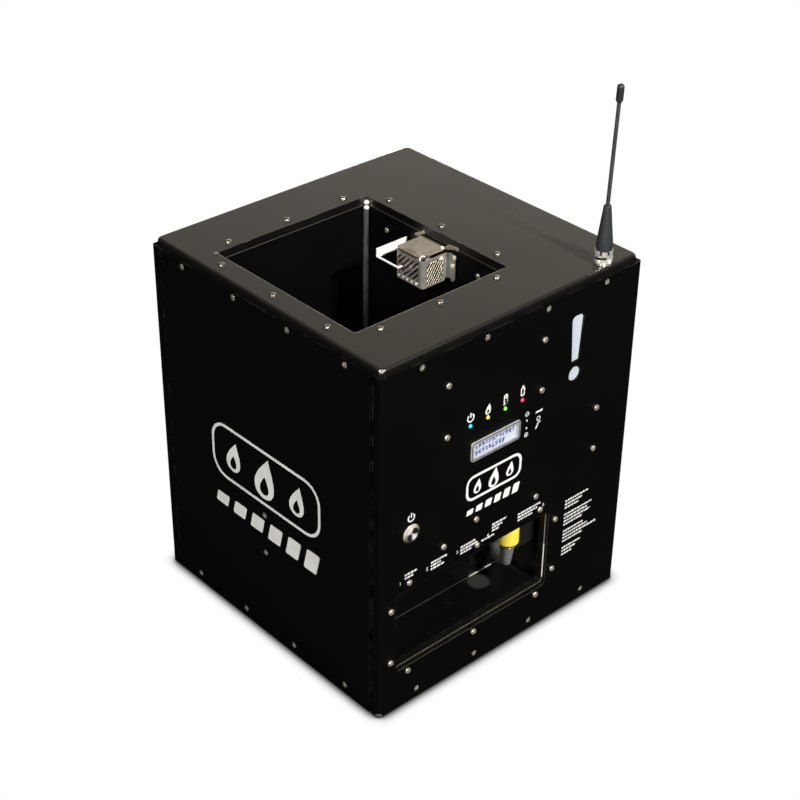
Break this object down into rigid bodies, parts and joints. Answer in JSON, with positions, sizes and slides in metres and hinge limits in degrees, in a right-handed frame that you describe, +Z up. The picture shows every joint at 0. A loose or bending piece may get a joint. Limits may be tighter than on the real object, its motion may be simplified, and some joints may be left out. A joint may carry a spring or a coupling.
{
  "type": "stage flame machine",
  "caption": "Square sheet-steel stage flame machine with an open well, a caged igniter, a whip antenna and a front control panel.",
  "frame": {"origin": "middle of the underside of the case", "axes": "+Z up, -Y towards the control panel, +X to the right seen from the control panel"},
  "size_m": [0.3, 0.3023, 0.5127],
  "materials": {
    "black_paint": "matte fine-textured",
    "lid_paint": "matte fine-textured",
    "stainless": "satin, heat-tinted",
    "nickel": "bright nickel",
    "brass": "machined",
    "ceramic": "glazed ceramic",
    "black_plastic": "satin",
    "rubber": "matte",
    "circuit_board": "satin",
    "aluminium": "cast",
    "motor_steel": "satin",
    "tank_plastic": "natural polyethylene",
    "battery_plastic": "satin",
    "plug_yellow": "satin",
    "lamp_cyan": "clear tinted, lit",
    "lamp_amber": "clear tinted, lit",
    "lamp_green": "clear tinted, lit",
    "lamp_pink": "clear tinted, lit",
    "display": "glossy, lit",
    "status_white": "translucent, lit"
  },
  "bodies": {
    "case": {"base_tray": "black_paint", "left_wall": "black_paint", "right_wall": "black_paint", "front_panel": "black_paint", "rear_panel": "black_paint", "well_liner": "black_paint", "well_floor": "black_paint", "bay_frame": "black_paint", "bay_box": "black_paint", "pump_cradle": "black_paint", "lid": "lid_paint", "igniter_guard": "stainless", "guard_cover": "stainless", "igniter_shelf": "stainless", "electrode_front": "stainless", "electrode_rear": "stainless", "battery_strap": "stainless", "display_frame": "nickel", "button_body": "nickel", "button_nut": "nickel", "antenna_jack": "nickel", "jack_nut": "nickel", "nozzle": "brass", "valve_body": "brass", "insulator_front": "ceramic", "insulator_rear": "ceramic", "ignition_coil": "black_plastic", "valve_coil": "black_plastic", "socket_1": "black_plastic", "socket_2": "black_plastic", "socket_3": "black_plastic", "socket_4": "black_plastic", "socket_5": "black_plastic", "display_module": "black_plastic", "suction_hose": "rubber", "pressure_hose": "rubber", "antenna_lead": "rubber", "control_board": "circuit_board", "pump_head": "aluminium", "radio_module": "aluminium", "pump_motor": "motor_steel", "fuel_tank": "tank_plastic", "status_light_box": "tank_plastic", "battery": "battery_plastic", "lamp_power": "lamp_cyan", "lamp_ignition": "lamp_amber", "lamp_charge": "lamp_green", "lamp_fuel": "lamp_pink", "display_glass": "display", "status_bar_lens": "status_white", "status_dot_lens": "status_white"},
    "power_button": {"button_cap": "nickel"},
    "safety_plug": {"plug_sleeve": "plug_yellow", "plug_boot": "rubber"},
    "bayonet": {"bayonet_ring": "nickel"},
    "antenna": {"antenna_boot": "rubber", "antenna_whip": "black_plastic", "antenna_tip": "rubber"},
    "filler_cap": {"tank_cap": "black_plastic"}
  },
  "joints": [
    {"name": "power_button_press", "type": "slide", "parent": "case", "child": "power_button", "axis": [0, 1, 0], "range_m": [0, 0.0025], "stiffness_N_per_m": 500, "springref_m": -0.0015},
    {"name": "safety_plug_pull", "type": "slide", "parent": "case", "child": "safety_plug", "axis": [0, 0, -1], "range_m": [0, 0.014]},
    {"name": "bayonet_turn", "type": "hinge", "parent": "case", "child": "bayonet", "pos_m": [0.111, -0.1392, 0.359], "axis": [0, 0, 1], "range_deg": [0, 80]},
    {"name": "antenna_swivel", "type": "hinge", "parent": "case", "child": "antenna", "pos_m": [0.111, -0.1392, 0.385], "axis": [0, 0, 1], "range_deg": [-180, 180]},
    {"name": "filler_cap_turn", "type": "hinge", "parent": "case", "child": "filler_cap", "pos_m": [0.1, 0.092, 0.196], "axis": [0, 0, 1], "range_deg": [0, 360]}
  ]
}
